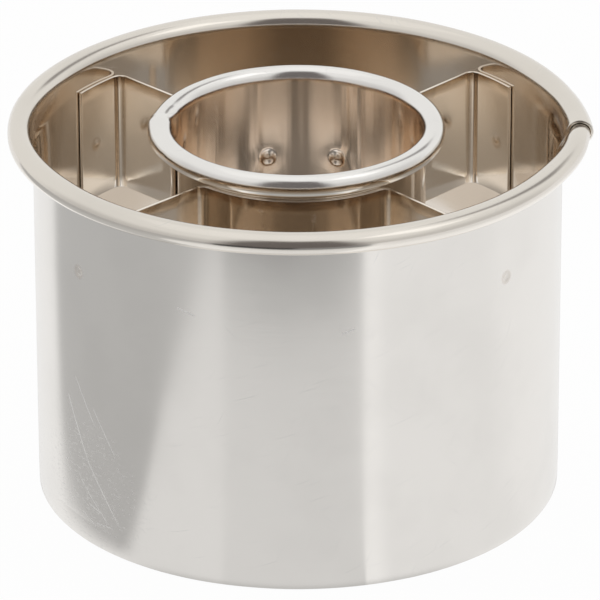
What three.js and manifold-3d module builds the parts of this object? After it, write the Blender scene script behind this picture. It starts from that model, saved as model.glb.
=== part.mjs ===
// Donut cutter in sheet steel: a large ring cuts the dough round and a small ring cuts its hole.
// Both rings are strips rolled into a band, lapped at the ends, with the top edge curled outwards.
// Two hat-shaped straps hold the small ring in the middle of the large one, and spot welds join all.
// Millimetres, +Z up. The origin lies on the rings' axis, level with their cutting edges.

import * as THREE from 'three';
import { mergeVertices } from 'three/addons/utils/BufferGeometryUtils.js';
import Module from 'manifold-3d';

const wasm = await Module();
wasm.setup();

// Sheet of the rings and their cutting edges
const RING_SHEET = 0.5;
const EDGE_LAND = 0.45; // sheet left at the very edge, below the ground bevel
const EDGE_BEVEL_HEIGHT = 3.9;

// Outer ring: sizes over the band, and of the bead that its upper edge is rolled into
const OUTER_DIAMETER = 88.9;
const OUTER_HEIGHT = 65.72;
const OUTER_RIM_WIDTH = 4.67;
const OUTER_RIM_HEIGHT = 3.58;
const OUTER_LAP_ANGLE = -2.5; // degrees from +X to the end that lies on top
const OUTER_LAP_LENGTH = 10;

// Inner ring, measured in the same way
const INNER_DIAMETER = 43;
const INNER_HEIGHT = 65.38;
const INNER_RIM_WIDTH = 3.78;
const INNER_RIM_HEIGHT = 3.7;
const INNER_LAP_ANGLE = 172;
const INNER_LAP_LENGTH = 8;

// Rolled rims: the band runs straight up into an oval bead
const RIM_LIP_ANGLE = 110; // degrees that the bead rolls on below its widest line
const RIM_NECK = 4; // band below the bead's middle in which a lapped end changes over to its bead

// Lap seams
const LAP_EASE_LENGTH = 4; // strip length in which each end comes back into line past the lap
const LAP_LIFT = 0.5; // share of a lap step by which the covering bead widens at its end
const LAP_SPRING = 0.3; // how far the outer rim stands out beside the lap
const LAP_SPRING_ANGLE = 6; // degrees from the covering end to the middle of that place
const LAP_SPRING_SPREAD = 17; // degrees to each side in which the rim comes back

// Straps: a foot on the outer ring, a leg, an arc round the inner ring, a leg and a foot
const STRAP_SHEET = 0.5;
const STRAP_WIDTH = 20.9;
const STRAP_DROP = 5.32; // top of the outer rim down to the strap's upper edge
const STRAP_BEND_RADIUS = 1.5; // inside of each bend
const STRAP_FOOT_LENGTH = 10.6; // from the leg's middle line to the end of the foot
const STRAP_LEG_SPREAD = 88; // degrees between the two legs of one strap
const FRONT_STRAP_ANGLE = -92; // degrees from +X to the middle of the strap
const REAR_STRAP_ANGLE = 90.5;

// Spot welds: thin discs of fused metal between two sheets, under a dent in each sheet's far face
const FAYING_GAP = 0.3; // room between two sheets that are welded together
const WELD_FILL = 0.5; // share of that room that a weld takes up
const WELD_DIAMETER = 3;
const DENT_DIAMETER = 2.6;
const DENT_FLOOR_DIAMETER = 1.6;
const DENT_DEPTH = 0.2;
const FOOT_WELD_REACH = 6.5; // from the leg's middle line to the weld on the foot
const ARC_WELD_SPACING = 12.2; // along the inner ring, between the two welds of one strap
const REAR_WELD_SHIFT = -2.75; // degrees from the rear strap's middle to that of its ring welds
const STRAP_WELD_DROP = 0.5; // from the middle of a strap's width down to its welds
const SEAM_WELD_COUNT = 3;
const SEAM_WELD_INSET = 14; // from the cutting edge, and from the rim, to the end welds

// Fineness of the rounded shapes
const OUTER_STEPS = 60;
const INNER_STEPS = 40;
const LAP_STEPS = 2;
const EASE_STEPS = 3;
const BEAD_STEPS = 10;
const BEND_STEPS = 4;
const ARC_STEP = THREE.MathUtils.degToRad(6);
const WELD_SIDES = 12;
const MERGE_DISTANCE = 1e-4;

// Sizes that follow from the ones above
const RIM_LIP = THREE.MathUtils.degToRad(RIM_LIP_ANGLE);
const LAP_STEP = RING_SHEET + FAYING_GAP; // between the middles of two lapped sheets
const STRAP_BOTTOM = OUTER_HEIGHT - STRAP_DROP - STRAP_WIDTH;
const STRAP_WELD_HEIGHT = STRAP_BOTTOM + STRAP_WIDTH / 2 - STRAP_WELD_DROP;
const ARC_RADIUS = INNER_DIAMETER / 2 + FAYING_GAP + STRAP_SHEET / 2;
const FOOT_RADIUS = OUTER_DIAMETER / 2 - RING_SHEET - FAYING_GAP - STRAP_SHEET / 2;
const LEG_ANGLE = THREE.MathUtils.degToRad(STRAP_LEG_SPREAD / 2);
const FOOT_WELD_TURN = LEG_ANGLE + FOOT_WELD_REACH / FOOT_RADIUS; // from the strap's middle
const RING_WELD_TURN = ARC_WELD_SPACING / INNER_DIAMETER;
const HANDS = [-1, 1]; // the two halves of a strap

const STRAPS = [
  { label: 'front', angle: THREE.MathUtils.degToRad(FRONT_STRAP_ANGLE), weldShift: 0 },
  {
    label: 'rear',
    angle: THREE.MathUtils.degToRad(REAR_STRAP_ANGLE),
    weldShift: THREE.MathUtils.degToRad(REAR_WELD_SHIFT),
  },
];

const OUTER_RING = {
  radius: OUTER_DIAMETER / 2,
  height: OUTER_HEIGHT,
  rimWidth: OUTER_RIM_WIDTH,
  rimHeight: OUTER_RIM_HEIGHT,
  spring: LAP_SPRING,
  lapLength: OUTER_LAP_LENGTH,
  lapAngle: THREE.MathUtils.degToRad(OUTER_LAP_ANGLE),
  steps: OUTER_STEPS,
};

const INNER_RING = {
  radius: INNER_DIAMETER / 2,
  height: INNER_HEIGHT,
  rimWidth: INNER_RIM_WIDTH,
  rimHeight: INNER_RIM_HEIGHT,
  spring: 0,
  lapLength: INNER_LAP_LENGTH,
  lapAngle: THREE.MathUtils.degToRad(INNER_LAP_ANGLE),
  steps: INNER_STEPS,
};

// Finishes
const satinSteel = () => new THREE.MeshStandardMaterial({ color: 0xc9c6c2, roughness: 0.28, metalness: 1 });
const brightSteel = () => new THREE.MeshStandardMaterial({ color: 0xd2cec8, roughness: 0.2, metalness: 1 });
const strapSteel = () => new THREE.MeshStandardMaterial({ color: 0xb9b2a8, roughness: 0.35, metalness: 1 });
const weldSteel = () => new THREE.MeshStandardMaterial({ color: 0x8f8780, roughness: 0.5, metalness: 1 });

// A piece is a named mesh, turned round the axis and lifted to its height
function makePiece(name, geometry, material, angle = 0, height = 0) {
  const mesh = new THREE.Mesh(geometry, material);
  mesh.name = name;
  mesh.rotation.z = angle;
  mesh.position.z = height;
  return mesh;
}

function makeGeometry(positions, triangles) {
  const geometry = new THREE.BufferGeometry();
  geometry.setAttribute('position', new THREE.Float32BufferAttribute(positions, 3));
  geometry.setIndex(triangles);
  geometry.computeVertexNormals();
  return geometry;
}

function toSolid(geometry) {
  const bare = geometry.clone();
  bare.deleteAttribute('normal');
  bare.deleteAttribute('uv');
  const merged = mergeVertices(bare, MERGE_DISTANCE);
  return new wasm.Manifold(
    new wasm.Mesh({
      numProp: 3,
      vertProperties: Float32Array.from(merged.attributes.position.array),
      triVerts: Uint32Array.from(merged.index.array),
    }),
  );
}

// The tip of a weld electrode, pressed into a face at the given radius: from outside towards the
// axis, or from inside away from it
function electrodeTip({ angle, height, radius, fromOutside }) {
  const slope = (DENT_DIAMETER - DENT_FLOOR_DIAMETER) / 2 / DENT_DEPTH;
  const length = 2 * DENT_DEPTH;
  const narrow = DENT_FLOOR_DIAMETER / 2;
  const tip = new THREE.CylinderGeometry(narrow + slope * length, narrow, length, WELD_SIDES);
  tip.rotateZ(fromOutside ? -Math.PI / 2 : Math.PI / 2);
  tip.translate(radius, 0, height);
  tip.rotateZ(angle);
  return tip;
}

// A sheet piece with a dent at each of its welds
function dentedSheet(geometry, dents) {
  let solid = toSolid(geometry);
  for (const dent of dents) {
    solid = solid.subtract(toSolid(electrodeTip(dent)));
  }
  const { vertProperties, triVerts } = solid.getMesh();
  return makeGeometry(vertProperties, Array.from(triVerts));
}

// Section of a ring's sheet as two rows of (radius, height) points. The face row runs up inside
// the band and round the outside of the bead; the back row runs up outside the band and inside
// the bead. A band shift moves the band to its face's side, which is inwards, and a bead shift
// does the same for the bead, which widens it; both count in lap steps. A bead offset moves the
// bead outwards.
function sheetSection(ring, { bandShift, beadShift, beadOffset }) {
  const inside = ring.radius - RING_SHEET - bandShift * LAP_STEP;
  const halfWidth = (ring.rimWidth - RING_SHEET) / 2;
  const halfHeight = (ring.rimHeight - RING_SHEET) / 2;
  const swell = beadShift * LAP_STEP;
  const centre = new THREE.Vector2(
    ring.radius - RING_SHEET / 2 + halfWidth + beadOffset,
    ring.height - ring.rimHeight / 2,
  );

  const neck = centre.y - RIM_NECK;
  const face = [0, EDGE_BEVEL_HEIGHT, neck].map((height) => new THREE.Vector2(inside, height));
  const back = [
    new THREE.Vector2(inside + EDGE_LAND, 0),
    new THREE.Vector2(inside + RING_SHEET, EDGE_BEVEL_HEIGHT),
    new THREE.Vector2(inside + RING_SHEET, neck),
  ];
  for (const { place, away } of beadPoints(centre, halfWidth + swell, halfHeight + swell)) {
    face.push(place.clone().addScaledVector(away, RING_SHEET / 2));
    back.push(place.clone().addScaledVector(away, -RING_SHEET / 2));
  }
  return { face, back };
}

// Middle line of an oval bead, from the band over the top to the lip, with the outward directions
function beadPoints(centre, halfWidth, halfHeight) {
  const points = [];
  for (let i = 0; i <= BEAD_STEPS; i++) {
    const turn = THREE.MathUtils.lerp(Math.PI, -RIM_LIP, i / BEAD_STEPS);
    const cosine = Math.cos(turn);
    const sine = Math.sin(turn);
    const place = new THREE.Vector2(halfWidth * cosine, halfHeight * sine).add(centre);
    points.push({ place, away: new THREE.Vector2(halfHeight * cosine, halfWidth * sine).normalize() });
  }
  return points;
}

// How far a ring's rim stands out at a turn from the covering end of the strip
function lapSpring(ring, turn) {
  const middle = -THREE.MathUtils.degToRad(LAP_SPRING_ANGLE);
  const spread = THREE.MathUtils.degToRad(LAP_SPRING_SPREAD);
  const aside = Math.min(Math.abs(turn - middle), Math.abs(turn - middle - 2 * Math.PI));
  return ring.spring * (1 - THREE.MathUtils.smoothstep(aside, 0, spread));
}

// Places round a ring from the end that covers the lap to the covered end. In the lap, the covering
// band lies inside the other one, and the covering bead goes round the other's and stands out, most
// of all at its end. Past the lap, both ends come back into line.
function ringStations(ring) {
  const lap = ring.lapLength / ring.radius;
  const ease = LAP_EASE_LENGTH / ring.radius;
  const around = 2 * Math.PI;
  const reaches = [
    { upTo: lap, steps: LAP_STEPS },
    { upTo: lap + ease, steps: EASE_STEPS },
    { upTo: around - ease, steps: ring.steps },
    { upTo: around, steps: EASE_STEPS },
    { upTo: around + lap, steps: LAP_STEPS },
  ];
  const turns = [0];
  for (const { upTo, steps } of reaches) {
    const start = turns.at(-1);
    for (let i = 1; i <= steps; i++) {
      turns.push(THREE.MathUtils.lerp(start, upTo, i / steps));
    }
  }
  return turns.map((turn) => {
    const covering = Math.max(1 - turn / (lap + ease), 0);
    const covered = THREE.MathUtils.smoothstep(turn, around - ease, around);
    const under = covered * (1 - Math.max(turn - around, 0) / (lap + ease));
    const lift = LAP_LIFT * (covering + under);
    return {
      angle: ring.lapAngle + turn,
      bandShift: 1 - THREE.MathUtils.smoothstep(turn, lap, lap + ease),
      beadShift: lift - covered,
      beadOffset: lift * LAP_STEP + lapSpring(ring, turn),
    };
  });
}

// A ring's sheet, swept round the axis from one end of the strip to the other and closed there
function rolledRing(ring) {
  const stations = ringStations(ring);
  const positions = [];
  let rows = 0;
  for (const station of stations) {
    const { face, back } = sheetSection(ring, station);
    rows = face.length;
    for (const point of [...face, ...back.reverse()]) {
      positions.push(point.x * Math.cos(station.angle), point.x * Math.sin(station.angle), point.y);
    }
  }

  const around = 2 * rows;
  const triangles = [];
  const addQuad = (a, b, c, d) => triangles.push(a, b, c, a, c, d);
  for (let i = 0; i < stations.length - 1; i++) {
    for (let j = 0; j < around; j++) {
      const k = (j + 1) % around;
      addQuad(i * around + j, i * around + k, (i + 1) * around + k, (i + 1) * around + j);
    }
  }
  const last = (stations.length - 1) * around;
  for (let j = 0; j < rows - 1; j++) {
    const across = around - 1 - j;
    addQuad(j, across, across - 1, j + 1);
    addQuad(last + j, last + j + 1, last + across - 1, last + across);
  }
  return makeGeometry(positions, triangles);
}

// Points of an arc, each with the direction away from the arc's centre; fewest steps that keep
// the arc round, or a set number of them
function arcPoints(centre, radius, from, to, steps = Math.ceil(Math.abs(to - from) / ARC_STEP)) {
  const points = [];
  for (let i = 0; i <= steps; i++) {
    const angle = THREE.MathUtils.lerp(from, to, i / steps);
    const away = new THREE.Vector2(Math.cos(angle), Math.sin(angle));
    points.push({ place: away.clone().multiplyScalar(radius).add(centre), away });
  }
  return points;
}

function polar(radius, angle) {
  return new THREE.Vector2(radius * Math.cos(angle), radius * Math.sin(angle));
}

// Middle line of half a strap in plan, from the middle of its arc, on +X, to the end of one foot.
// Each point has the direction to the strap's outer side, away from the inner ring.
function strapHalfLine() {
  const bend = STRAP_BEND_RADIUS + STRAP_SHEET / 2;
  const axis = new THREE.Vector2();
  const arcBend = Math.asin(bend / (ARC_RADIUS + bend));
  const footBend = Math.asin(bend / (FOOT_RADIUS - bend));
  const arcEnd = LEG_ANGLE - arcBend;
  const footStart = LEG_ANGLE + footBend;
  const footEnd = LEG_ANGLE + STRAP_FOOT_LENGTH / FOOT_RADIUS;

  const intoLeg = arcPoints(
    polar(ARC_RADIUS + bend, arcEnd),
    bend,
    arcEnd + Math.PI,
    LEG_ANGLE + Math.PI / 2,
    BEND_STEPS,
  );
  intoLeg.forEach(({ away }) => away.negate());
  const intoFoot = arcPoints(
    polar(FOOT_RADIUS - bend, footStart),
    bend,
    LEG_ANGLE - Math.PI / 2,
    footStart,
    BEND_STEPS,
  );
  return [
    ...arcPoints(axis, ARC_RADIUS, 0, arcEnd).slice(0, -1),
    ...intoLeg,
    ...intoFoot,
    ...arcPoints(axis, FOOT_RADIUS, footStart, footEnd).slice(1),
  ];
}

// A strap, with the middle of its arc on +X and its lower edge at height zero
function hatStrap() {
  const half = strapHalfLine();
  const flip = ({ place, away }) => ({
    place: new THREE.Vector2(place.x, -place.y),
    away: new THREE.Vector2(away.x, -away.y),
  });
  const line = [...half.slice(1).reverse().map(flip), ...half];
  const side = (distance) => line.map(({ place, away }) => place.clone().addScaledVector(away, distance));
  const outline = [...side(STRAP_SHEET / 2), ...side(-STRAP_SHEET / 2).reverse()];
  return new THREE.ExtrudeGeometry(new THREE.Shape(outline), { depth: STRAP_WIDTH, bevelEnabled: false });
}

// A spot weld on +X at height zero: a disc bent round the axis, inside the room between two
// sheets that starts at the given radius
function weldDisc(roomRadius) {
  const margin = (FAYING_GAP * (1 - WELD_FILL)) / 2;
  const radii = [roomRadius + margin, roomRadius + FAYING_GAP - margin];
  const positions = [];
  for (const radius of radii) {
    positions.push(radius, 0, 0);
    for (let i = 0; i < WELD_SIDES; i++) {
      const turn = (2 * Math.PI * i) / WELD_SIDES;
      const aside = ((WELD_DIAMETER / 2) * Math.cos(turn)) / roomRadius;
      const height = (WELD_DIAMETER / 2) * Math.sin(turn);
      positions.push(radius * Math.cos(aside), radius * Math.sin(aside), height);
    }
  }
  const outer = WELD_SIDES + 1;
  const triangles = [];
  for (let i = 1; i <= WELD_SIDES; i++) {
    const next = (i % WELD_SIDES) + 1;
    triangles.push(0, next, i);
    triangles.push(outer, outer + i, outer + next);
    triangles.push(i, next, outer + next, i, outer + next, outer + i);
  }
  return makeGeometry(positions, triangles);
}

// Heights of the welds of a lap seam, in a row from the cutting edge to the rim
function seamWeldHeights(ring) {
  const rise = ring.height - ring.rimHeight - 2 * SEAM_WELD_INSET;
  const pitch = rise / (SEAM_WELD_COUNT - 1);
  return Array.from({ length: SEAM_WELD_COUNT }, (_, i) => SEAM_WELD_INSET + i * pitch);
}

// Angle of the middle of a ring's lap
function seamAngle(ring) {
  return ring.lapAngle + ring.lapLength / ring.radius / 2;
}

// Dents of a ring's own seam welds: outside on the covered end, inside on the end that covers it
function seamDents(ring) {
  const angle = seamAngle(ring);
  const inside = ring.radius - RING_SHEET - LAP_STEP;
  return seamWeldHeights(ring).flatMap((height) => [
    { angle, height, radius: ring.radius, fromOutside: true },
    { angle, height, radius: inside, fromOutside: false },
  ]);
}

// Angles from a strap's middle to the welds on its feet, and to those on the inner ring
function footWeldTurns() {
  return HANDS.map((hand) => hand * FOOT_WELD_TURN);
}

function ringWeldTurns({ weldShift }) {
  return HANDS.map((hand) => weldShift + hand * RING_WELD_TURN);
}

// Dents that the straps' welds leave in a ring's far face
function strapWeldDents(weldTurns, radius, fromOutside) {
  return STRAPS.flatMap((place) =>
    weldTurns(place).map((turn) => ({
      angle: place.angle + turn,
      height: STRAP_WELD_HEIGHT,
      radius,
      fromOutside,
    })),
  );
}

// Dents in a strap, with the middle of its arc on +X and its lower edge at height zero
function strapDents(place) {
  const height = STRAP_WELD_HEIGHT - STRAP_BOTTOM;
  const footFace = FOOT_RADIUS - STRAP_SHEET / 2;
  const arcFace = ARC_RADIUS + STRAP_SHEET / 2;
  return [
    ...footWeldTurns().map((angle) => ({ angle, height, radius: footFace, fromOutside: false })),
    ...ringWeldTurns(place).map((angle) => ({ angle, height, radius: arcFace, fromOutside: true })),
  ];
}

// A weld of a strap, at a turn from the strap's middle
function strapWeld(place, kind, roomRadius, turn) {
  const angle = place.angle + turn;
  const side = Math.cos(angle) < 0 ? 'left' : 'right';
  const name = `${place.label}_${side}_${kind}_weld`;
  return makePiece(name, weldDisc(roomRadius), weldSteel(), angle, STRAP_WELD_HEIGHT);
}

// The welds of one strap: one on each foot and two on the inner ring
function strapWelds(place) {
  const footRoom = FOOT_RADIUS + STRAP_SHEET / 2;
  const ringRoom = INNER_DIAMETER / 2;
  return [
    ...footWeldTurns().map((turn) => strapWeld(place, 'foot', footRoom, turn)),
    ...ringWeldTurns(place).map((turn) => strapWeld(place, 'ring', ringRoom, turn)),
  ];
}

// The welds of one lap seam
function seamWelds(label, ring) {
  const room = ring.radius - RING_SHEET - FAYING_GAP;
  return seamWeldHeights(ring).map((height, i) =>
    makePiece(`${label}_seam_weld_${i + 1}`, weldDisc(room), weldSteel(), seamAngle(ring), height),
  );
}

function outerRing() {
  const dents = [...strapWeldDents(footWeldTurns, OUTER_RING.radius, true), ...seamDents(OUTER_RING)];
  return makePiece('outer_ring', dentedSheet(rolledRing(OUTER_RING), dents), satinSteel());
}

function innerRing() {
  const face = INNER_RING.radius - RING_SHEET;
  const dents = [...strapWeldDents(ringWeldTurns, face, false), ...seamDents(INNER_RING)];
  return makePiece('inner_ring', dentedSheet(rolledRing(INNER_RING), dents), brightSteel());
}

function strap(place) {
  const sheet = dentedSheet(hatStrap(), strapDents(place));
  return makePiece(`${place.label}_strap`, sheet, strapSteel(), place.angle, STRAP_BOTTOM);
}

const cutter = new THREE.Group();
cutter.add(outerRing(), innerRing());
for (const place of STRAPS) {
  cutter.add(strap(place), ...strapWelds(place));
}
cutter.add(...seamWelds('outer', OUTER_RING), ...seamWelds('inner', INNER_RING));

export default cutter;
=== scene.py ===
"""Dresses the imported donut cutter: two rolled steel rings, two hat straps and their spot welds.

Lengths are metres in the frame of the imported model: +Z runs up from the cutting edges to the
rolled rims, the viewer stands at -Y, and +X lies to the viewer's right.
"""

from __future__ import annotations

import logging
import math
from dataclasses import dataclass, field
from enum import Enum
from typing import Sequence, Union

import bmesh
import bpy
import numpy as np
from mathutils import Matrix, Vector


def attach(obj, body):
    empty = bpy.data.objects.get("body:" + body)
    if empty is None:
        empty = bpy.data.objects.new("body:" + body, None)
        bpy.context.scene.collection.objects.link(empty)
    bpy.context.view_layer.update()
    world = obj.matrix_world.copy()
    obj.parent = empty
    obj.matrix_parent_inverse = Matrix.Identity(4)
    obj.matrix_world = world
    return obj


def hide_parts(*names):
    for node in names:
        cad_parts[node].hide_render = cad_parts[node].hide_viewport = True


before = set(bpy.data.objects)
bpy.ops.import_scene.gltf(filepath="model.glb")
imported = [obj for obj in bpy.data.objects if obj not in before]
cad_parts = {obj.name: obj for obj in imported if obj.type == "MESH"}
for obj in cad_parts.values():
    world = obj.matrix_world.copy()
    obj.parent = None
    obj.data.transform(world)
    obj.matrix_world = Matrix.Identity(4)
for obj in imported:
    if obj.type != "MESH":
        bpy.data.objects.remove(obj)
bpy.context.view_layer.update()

MM = 0.001
DEGREES = 180.0 / math.pi  # degrees in a radian
BODY = "root"
LOG = logging.getLogger("donut_cutter")

BAND_RADIUS = 44.45 * MM  # outside of the outer ring's band
CORE_RADIUS = 21.5 * MM  # outside of the inner ring's band
SHARP_ANGLE = math.radians(50.0)  # steeper edges than this stay sharp in the shading
NOISE_MIDDLE = 0.5  # what noise between 0 and 1 varies about
EDGE_ROWS = np.array([0.0, 0.15, 0.5, 1.0])  # rows over a rounded edge, as shares of its radius

Triple = tuple[float, float, float]
Edge = tuple[float, float]  # a soft edge: where its share is 0, and where it is 1

BLACK: Triple = (0.0, 0.0, 0.0)
WHITE: Triple = (1.0, 1.0, 1.0)


class Side(Enum):
    """The two faces of a bent sheet."""

    FACE = "face"
    BACK = "back"


class WeldRow(Enum):
    """The welded parts of a strap: its feet, and its arc round the inner ring."""

    FOOT = "foot"
    RING = "ring"


@dataclass(frozen=True)
class Dent:
    """Mark that a weld electrode leaves in one face of a sheet.

    Attributes:
        along: Place along the strip, as an angle in radians on a ring or a length on a strap.
        height: Height of the mark's middle.
        side: The face that is pressed in.
        size: Size of the mark against the common form.
        press: Depth of the mark against a common one of that size.
    """

    along: float
    height: float
    side: Side
    size: float = 1.0
    press: float = 1.0


@dataclass(frozen=True)
class DentShape:
    """Form of every electrode mark: a flat floor, a sloping wall and a wide shallow dish."""

    floor: float = 0.4 * MM
    rim: float = 1.5 * MM
    depth: float = 0.2 * MM
    dish: float = 3.4 * MM
    dish_depth: float = 0.04 * MM

    def sink(self, distance: np.ndarray, dent: Dent) -> np.ndarray:
        """Gives how far the sheet is pressed in.

        Args:
            distance: Distances from the middle of the mark.
            dent: The mark.

        Returns:
            The depth at each distance.
        """
        away = distance / dent.size
        wall = smooth((self.rim - away) / (self.rim - self.floor))
        dish = smooth(1.0 - away / self.dish)
        return dent.size * dent.press * (self.depth * wall + self.dish_depth * dish)


DENT = DentShape()

# Waves of a rolled band, each with its count round the ring, its share and its turn
WAVES = ((5, 1.0, 0.3), (9, 0.6, 2.1), (14, 0.5, 4.0), (23, 0.35, 1.2), (37, 0.2, 5.1))


def smooth(share: np.ndarray) -> np.ndarray:
    """Eases a share from 0 to 1 with level ends."""
    share = np.clip(share, 0.0, 1.0)
    return share * share * (3.0 - 2.0 * share)


def spread(values: Sequence[float], least: float) -> np.ndarray:
    """Sorts values and drops those that crowd the one before.

    Args:
        values: Places in any order.
        least: Smallest step that is kept.

    Returns:
        The sorted places, with the first and last kept.
    """
    ordered = np.sort(np.asarray(values, dtype=float))
    kept = [ordered[0]]
    for value in ordered[1:-1]:
        if value - kept[-1] >= least and ordered[-1] - value >= least:
            kept.append(value)
    kept.append(ordered[-1])
    return np.array(kept)


def edge_round(distance: np.ndarray, radius: float) -> np.ndarray:
    """Gives how far a rounded edge draws back each face of a sheet.

    Args:
        distance: Distances from the edge, measured in the sheet.
        radius: Radius of the rounding.

    Returns:
        The draw-back, which is the radius at the edge itself and 0 past the rounding.
    """
    inside = np.clip(1.0 - distance / radius, 0.0, 1.0)
    return radius * (1.0 - np.sqrt(1.0 - inside * inside))


def polar(reach: float, turn: float) -> tuple[float, float]:
    """Finds the place in plan at a reach and a turn from the axis."""
    return reach * math.cos(turn), reach * math.sin(turn)


def arc(
    centre: Sequence[float], radius: float, turns: np.ndarray
) -> tuple[np.ndarray, np.ndarray]:
    """Lays out points on an arc.

    Args:
        centre: Middle of the arc, in a plane.
        radius: Radius of the arc.
        turns: Angles of its points.

    Returns:
        The points, and the direction at each away from the arc's middle.
    """
    away = np.stack([np.cos(turns), np.sin(turns)], axis=1)
    return np.asarray(centre) + radius * away, away


def oval(
    centre: Sequence[float], half_width: float, half_height: float, turns: np.ndarray
) -> tuple[np.ndarray, np.ndarray]:
    """Lays out points on an upright oval.

    Args:
        centre: Middle of the oval, in a plane.
        half_width: Its reach to the sides.
        half_height: Its reach up and down.
        turns: Angles of its points.

    Returns:
        The points, and the direction at each square to the oval.
    """
    circle = np.stack([np.cos(turns), np.sin(turns)], axis=1)
    points = np.asarray(centre) + circle * (half_width, half_height)
    away = circle * (half_height, half_width)
    return points, away / np.linalg.norm(away, axis=1)[:, None]


def shell(name: str, face: np.ndarray, back: np.ndarray) -> bpy.types.Object:
    """Closes two grids of points into one solid sheet.

    Args:
        name: Name of the piece.
        face: Points of one face, by station along the strip and row across it.
        back: Points of the other face, in the same order.

    Returns:
        The piece, smooth shaded, in the scene.
    """
    stations, rows, _ = face.shape
    count = stations * rows
    front_index = np.arange(count).reshape(stations, rows)
    back_index = front_index + count

    def strip(a: np.ndarray, b: np.ndarray) -> list[tuple[int, ...]]:
        """Joins two lines of points with quads."""
        return [tuple(map(int, quad)) for quad in zip(a[:-1], a[1:], b[1:], b[:-1])]

    quads: list[tuple[int, ...]] = []
    for i in range(stations - 1):
        quads += strip(front_index[i], front_index[i + 1])
        quads += strip(back_index[i + 1], back_index[i])
    for end in (0, -1):
        quads += strip(front_index[end], back_index[end])
        quads += strip(front_index[:, end], back_index[:, end])

    points = np.concatenate([face.reshape(-1, 3), back.reshape(-1, 3)])
    mesh = bpy.data.meshes.new(name)
    mesh.from_pydata(points.tolist(), [], quads)
    made = bmesh.new()
    made.from_mesh(mesh)
    bmesh.ops.recalc_face_normals(made, faces=made.faces)
    made.to_mesh(mesh)
    made.free()
    mesh.shade_smooth()
    mesh.set_sharp_from_angle(angle=SHARP_ANGLE)
    piece = bpy.data.objects.new(name, mesh)
    bpy.context.scene.collection.objects.link(piece)
    return piece


def settle(piece: bpy.types.Object, slot: str, *nodes: str) -> bpy.types.Object:
    """Ties a piece to the frame.

    Args:
        piece: The piece.
        slot: Material slot of the record; not used.
        nodes: CAD nodes that it stands for.

    Returns:
        The piece.
    """
    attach(piece, BODY)
    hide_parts(*nodes)
    return piece


class Signal:
    """A shader socket that takes part in Python arithmetic."""

    def __init__(self, shader: Shader, socket: bpy.types.NodeSocket) -> None:
        """Keeps the socket and the shader that it belongs to."""
        self.shader = shader
        self.socket = socket

    def __add__(self, other: Value) -> Signal:
        """Adds a value."""
        return self.shader.math("ADD", self, other)

    __radd__ = __add__

    def __sub__(self, other: Value) -> Signal:
        """Takes a value away."""
        return self.shader.math("SUBTRACT", self, other)

    def __rsub__(self, other: Value) -> Signal:
        """Takes this away from a value."""
        return self.shader.math("SUBTRACT", other, self)

    def __mul__(self, other: Value) -> Signal:
        """Multiplies by a value."""
        return self.shader.math("MULTIPLY", self, other)

    __rmul__ = __mul__

    def __neg__(self) -> Signal:
        """Changes the sign."""
        return self.shader.math("MULTIPLY", self, -1.0)

    def __abs__(self) -> Signal:
        """Drops the sign."""
        return self.shader.math("ABSOLUTE", self, 0.0)


Value = Union[Signal, float]
Colour = Union[Signal, Triple]
Setting = Union[str, bool, int, float, list]


@dataclass(frozen=True)
class Pattern:
    """Noise of a finish.

    Attributes:
        stretch: Waves in a metre along each axis, so a small number draws the noise out.
        detail: Finer layers that are added.
        roughness: Share of each finer layer.
    """

    stretch: Triple
    detail: float
    roughness: float = 0.55


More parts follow.
